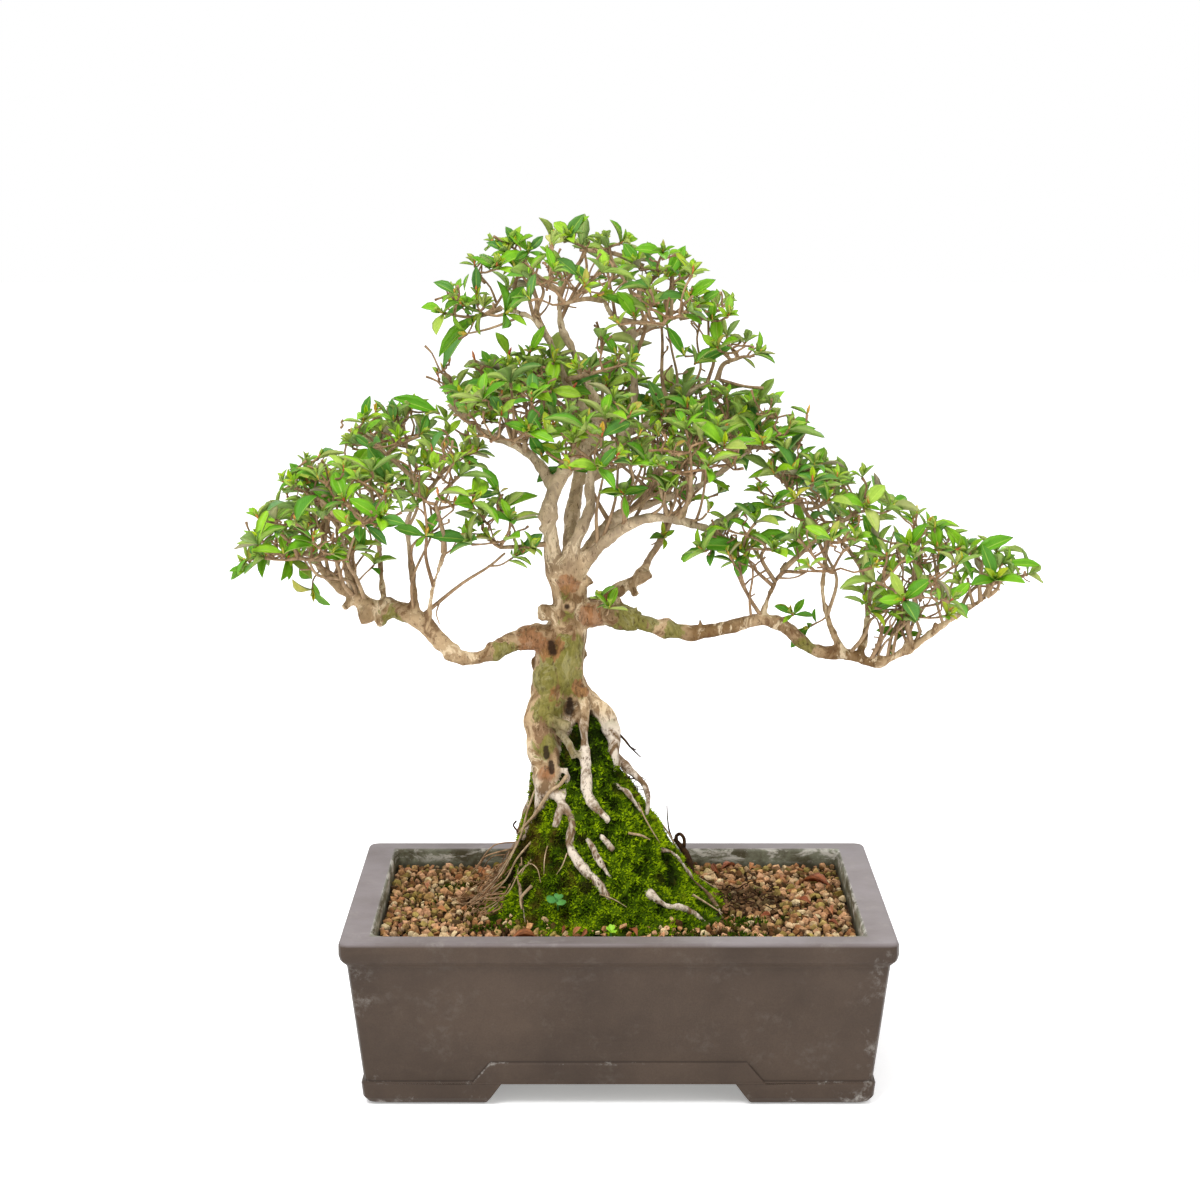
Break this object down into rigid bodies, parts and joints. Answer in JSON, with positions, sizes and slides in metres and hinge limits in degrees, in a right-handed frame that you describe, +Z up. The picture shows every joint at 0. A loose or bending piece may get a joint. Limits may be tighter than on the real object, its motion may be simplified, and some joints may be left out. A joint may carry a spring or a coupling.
{
  "type": "satsuki azalea bonsai in a pot",
  "caption": "Exposed-root azalea bonsai with whorls of small leaves, standing on a moss mound in granular soil, in a rectangular footed unglazed pot.",
  "frame": {"origin": "on the floor plane under the feet, below the middle of the whole object's width and depth", "axes": "+X along the pot's long side towards the longer branch, +Y from the front of the pot to its back, +Z up"},
  "size_m": [0.5318, 0.245, 0.557],
  "materials": {
    "ceramic_pot": "unglazed dark brown-grey stoneware, matt, with pale lime bloom at the edges",
    "drain_mesh": "matt black plastic mesh",
    "soil_granules": "rough baked clay granules, tan to peach with olive and grey ones",
    "moss": "velvety vivid to dark green moss",
    "bark": "flaky beige-grey bark with olive-green algae, paler on the roots",
    "twig_bark": "thin red-brown twig bark",
    "leaf": "satin mid-green leaves, paler and yellower at the shoot tips, dull undersides",
    "dry_leaf": "dry red-brown fallen leaves",
    "seedling": "fresh light-green seedling leaves"
  },
  "bodies": {
    "root": {"pot": "ceramic_pot", "drain_mesh_left": "drain_mesh", "drain_mesh_right": "drain_mesh", "soil": "soil_granules", "moss_mound": "moss", "wood": "bark", "spray_left_tip": "leaf", "spray_left_tip_front": "leaf", "spray_left_tip_back": "leaf", "spray_left_crown": "leaf", "spray_left_front": "leaf", "spray_left_top": "leaf", "spray_left_back": "leaf", "spray_left_inner_front": "leaf", "spray_left_inner_back": "leaf", "spray_left_low": "leaf", "spray_shoulder_left": "leaf", "spray_shoulder_left_front": "leaf", "spray_shoulder_left_back": "leaf", "spray_heart_front": "leaf", "spray_heart_back": "leaf", "spray_heart_left": "leaf", "spray_shoulder_front": "leaf", "spray_shoulder_top": "leaf", "spray_shoulder_back": "leaf", "spray_shoulder_right": "leaf", "spray_shoulder_right_low": "leaf", "spray_right_inner": "leaf", "spray_knobby_crown": "leaf", "spray_right_front": "leaf", "spray_right_top": "leaf", "spray_right_back": "leaf", "spray_right_outer_front": "leaf", "spray_right_outer_back": "leaf", "spray_right_outer_top": "leaf", "spray_right_low": "leaf", "spray_right_tip": "leaf", "spray_apex_left": "leaf", "spray_apex_left_top": "leaf", "spray_apex_top": "leaf", "spray_apex_front": "leaf", "spray_apex_back": "leaf", "spray_apex_right_top": "leaf", "spray_apex_right_front": "leaf", "spray_apex_right_low": "leaf", "spray_apex_right": "leaf", "spray_apex_right_back": "leaf", "spray_neck_front": "leaf", "fallen_leaf_1": "dry_leaf", "fallen_leaf_2": "dry_leaf", "fallen_leaf_3": "dry_leaf", "fallen_leaf_4": "dry_leaf", "fallen_leaf_5": "dry_leaf", "fallen_leaf_6": "dry_leaf", "fallen_leaf_green": "leaf", "seedling_clover": "seedling", "seedling_front": "seedling"}
  },
  "joints": []
}
